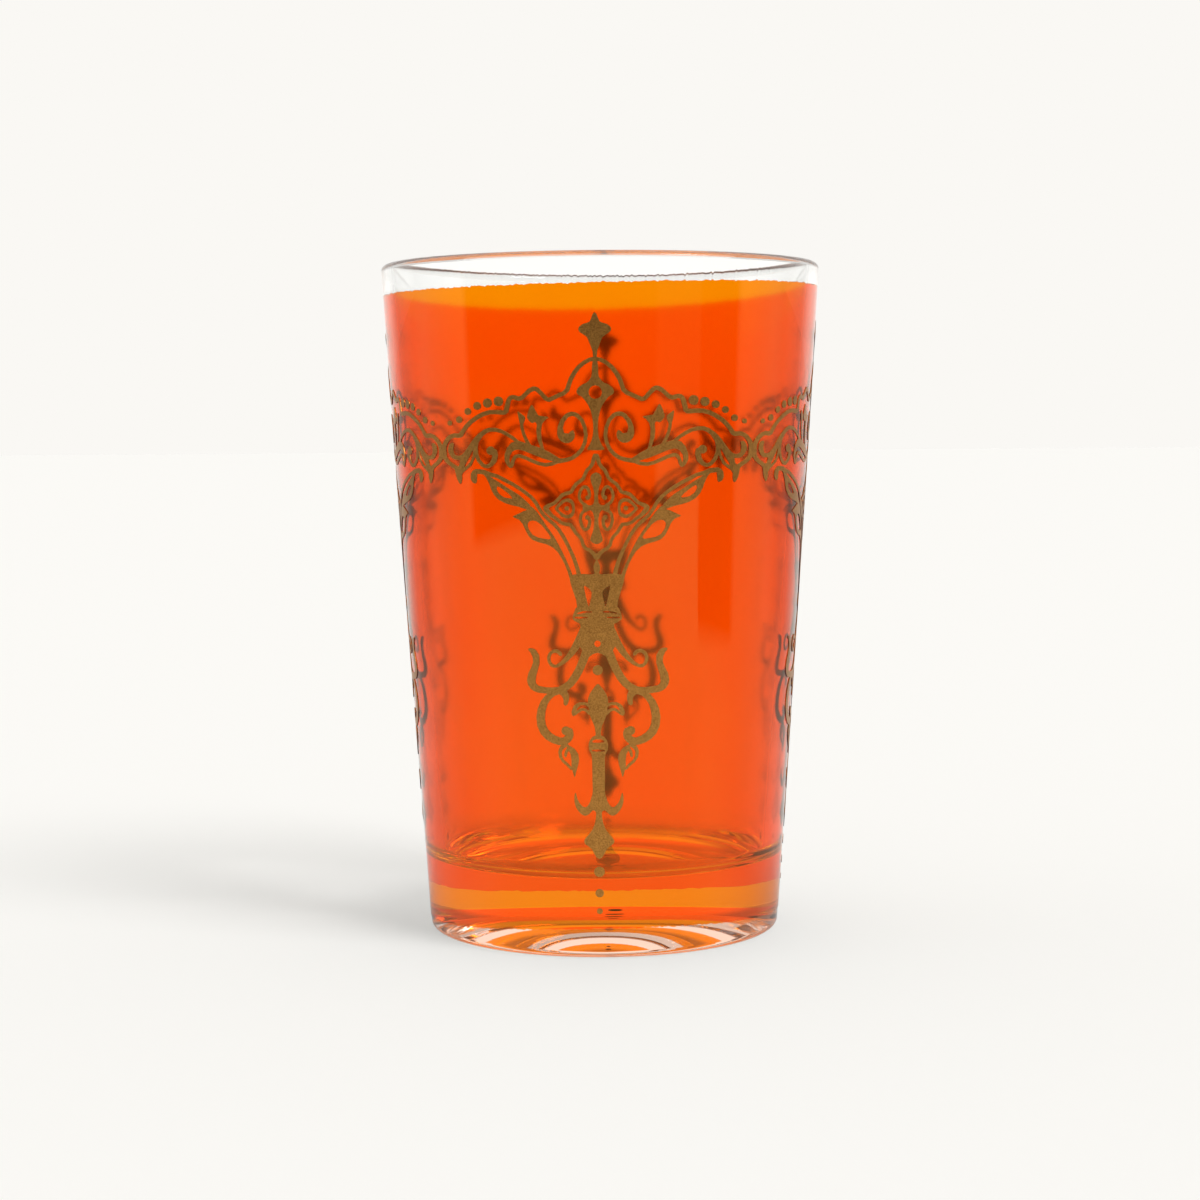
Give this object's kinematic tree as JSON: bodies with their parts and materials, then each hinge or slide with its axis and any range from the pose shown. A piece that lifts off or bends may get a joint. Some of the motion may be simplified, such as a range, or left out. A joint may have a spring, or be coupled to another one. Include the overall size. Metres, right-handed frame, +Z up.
{
  "type": "moroccan tea glass",
  "caption": "Tapered pressed tea glass with a thick base, an orange lustre coat and a raised gold arabesque print round the wall.",
  "frame": {"origin": "centre of the foot, on the plane the glass stands on", "axes": "+Z up along the axis of the glass, -Y towards the middle of one motif"},
  "size_m": [0.06, 0.06, 0.0914],
  "materials": {
    "clear_glass": "clear, fire-polished",
    "orange_lustre": "transparent orange lustre, glossy",
    "gold_ink": "fired gold print, satin"
  },
  "bodies": {
    "root": {"glass_body": "clear_glass", "orange_coat": "orange_lustre", "gold_frieze": "gold_ink", "gold_beads": "gold_ink", "gold_crests": "gold_ink", "gold_scrolls": "gold_ink", "gold_medallions": "gold_ink", "gold_arms": "gold_ink", "gold_pendants": "gold_ink", "gold_drops": "gold_ink"}
  },
  "joints": []
}
